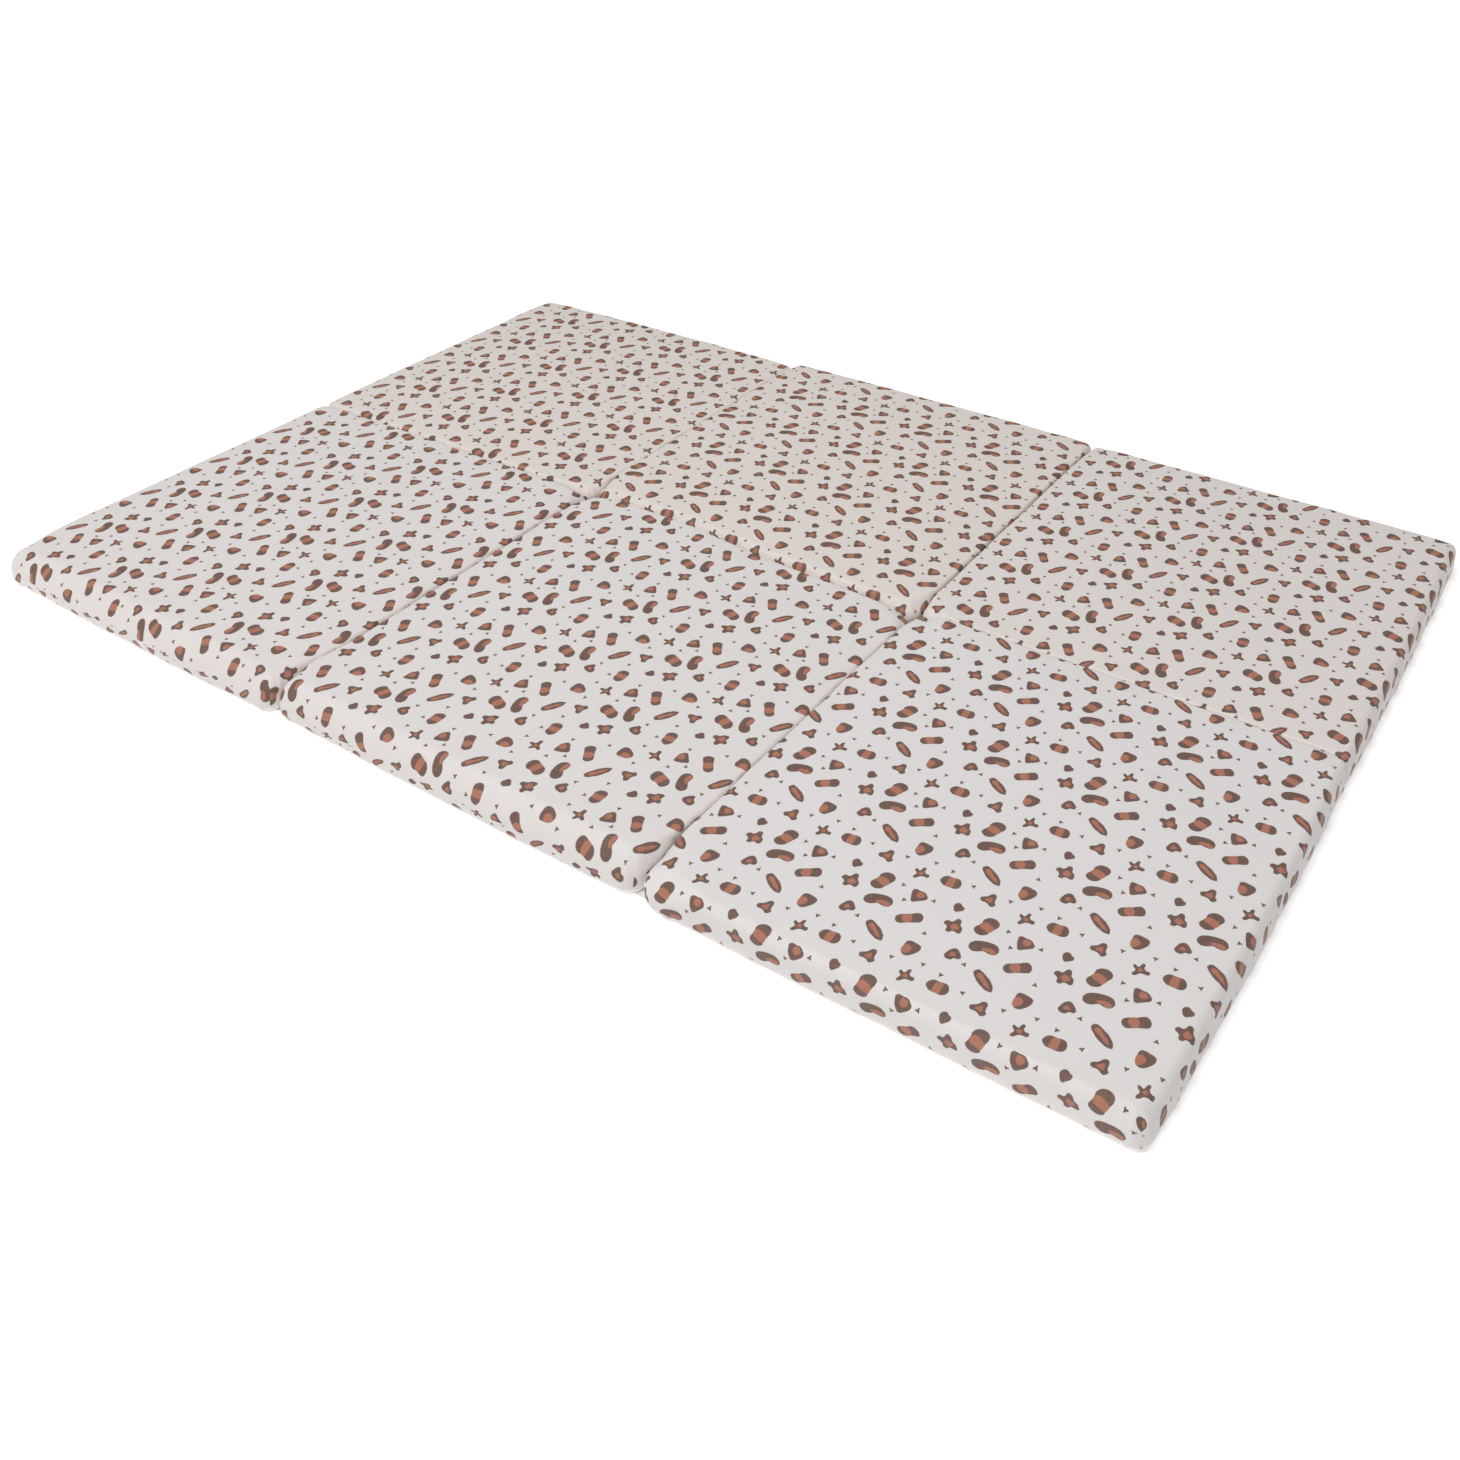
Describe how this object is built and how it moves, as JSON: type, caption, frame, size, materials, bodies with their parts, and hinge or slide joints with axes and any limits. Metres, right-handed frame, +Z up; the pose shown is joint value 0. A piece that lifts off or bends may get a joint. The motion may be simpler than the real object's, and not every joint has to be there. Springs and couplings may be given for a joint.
{
  "type": "folding baby play mat",
  "caption": "Folding baby play mat lying open: square foam-filled panels in a spotted cotton cover, side by side in two rows and joined by cloth hinges.",
  "frame": {"origin": "on the floor, under the middle of the open mat", "axes": "+X along the long side, from the left to the right panels; +Y along the short side, from the front row to the back row; +Z up"},
  "size_m": [1.7974, 1.2206, 0.0548],
  "materials": {
    "cover_cloth": "coated cotton, satin, pale grey cream with taupe and terracotta animal spots",
    "hinge_cloth": "plain cotton tape, matte, pale cream"
  },
  "bodies": {
    "root": {"panel_front_left": "cover_cloth", "panel_front_middle": "cover_cloth", "panel_front_right": "cover_cloth", "panel_back_left": "cover_cloth", "panel_back_middle": "cover_cloth", "panel_back_right": "cover_cloth", "hinge_front_1": "hinge_cloth", "hinge_front_2": "hinge_cloth", "hinge_back_1": "hinge_cloth", "hinge_back_2": "hinge_cloth", "hinge_between_rows_left": "hinge_cloth", "hinge_between_rows_middle": "hinge_cloth", "hinge_between_rows_right": "hinge_cloth"}
  },
  "joints": []
}
